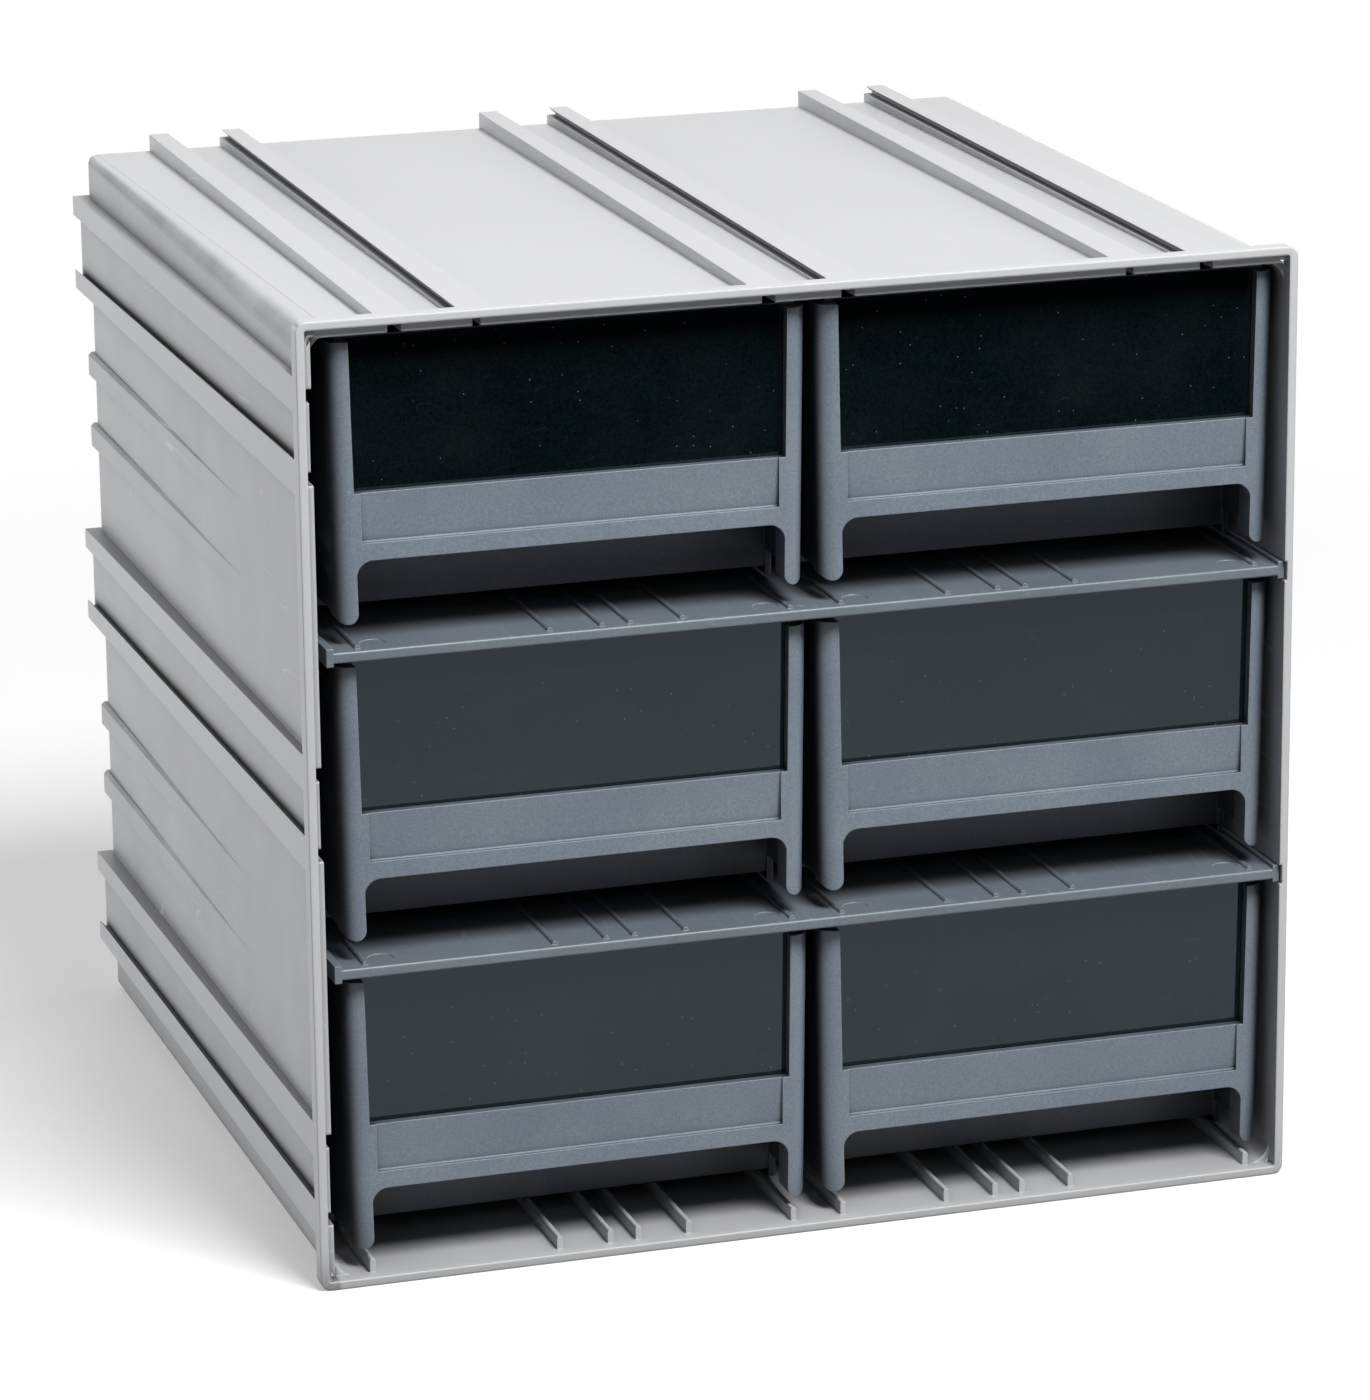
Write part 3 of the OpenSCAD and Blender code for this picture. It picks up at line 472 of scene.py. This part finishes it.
dark = flat("dark_floor", -REACH, front - PAPER_FRONT, cad_box[0].z - FLOOR_DROP)
dark_paint, tree, _ = new_material("dark_studio_floor")
matt = add(tree, "ShaderNodeBsdfDiffuse", {"Color": linear("101414")})
add(tree, "ShaderNodeOutputMaterial", {"Surface": matt}, give=None)
dark.data.materials.append(dark_paint)
dark.visible_camera = False

# The room is white to the camera, in reflections and through clear plastic, and lights the object little.
ROOM_LIGHT = 0.03
world = bpy.data.worlds.new("studio")
scene.world = world
world.use_nodes = True
tree = world.node_tree
tree.nodes.clear()
rays = add(tree, "ShaderNodeLightPath", {}, give=None).outputs
seen = {0: rays["Is Camera Ray"], 1: rays["Is Glossy Ray"]}
seen = add(tree, "ShaderNodeMath", seen, operation="MAXIMUM")
seen = add(tree, "ShaderNodeMath", {0: seen, 1: rays["Is Transmission Ray"]}, operation="MAXIMUM")
level = add(tree, "ShaderNodeMapRange", {"Value": seen, "To Min": ROOM_LIGHT, "To Max": 1.0})
room = add(tree, "ShaderNodeBackground", {"Color": (1, 1, 1, 1), "Strength": level})
add(tree, "ShaderNodeOutputWorld", {"Surface": room}, give=None)


def softbox(name, turn, rise, away, size, level):
    """A square lamp aimed at the middle of the cabinet, turn degrees round from the front, rise degrees up
    and away metres off. A face square to it renders at level times its colour, for which the lamp takes
    level times the square of pi times the distance, in watts."""
    lamp = bpy.data.lights.new(name, "AREA")
    lamp.shape, lamp.size, lamp.energy = "SQUARE", size, level * (math.pi * away) ** 2
    made = bpy.data.objects.new(name, lamp)
    scene.collection.objects.link(made)
    a, e = math.radians(turn), math.radians(rise)
    way = Vector((math.sin(a) * math.cos(e), -math.cos(a) * math.cos(e), math.sin(e)))
    middle = (cad_box[0] + cad_box[1]) / 2
    aim = way.to_track_quat("Z", "Y").to_matrix().to_4x4()
    made.matrix_world = Matrix.Translation(middle + away * way) @ aim


softbox("softbox_key", turn=16, rise=55, away=2.2, size=0.8, level=1.16)
softbox("softbox_left", turn=-118, rise=8, away=1.5, size=0.9, level=0.50)
softbox("softbox_right", turn=95, rise=15, away=2.4, size=1.2, level=0.25)
softbox("softbox_back", turn=180, rise=50, away=2.4, size=1.2, level=0.14)
scene.view_settings.view_transform = "Standard"
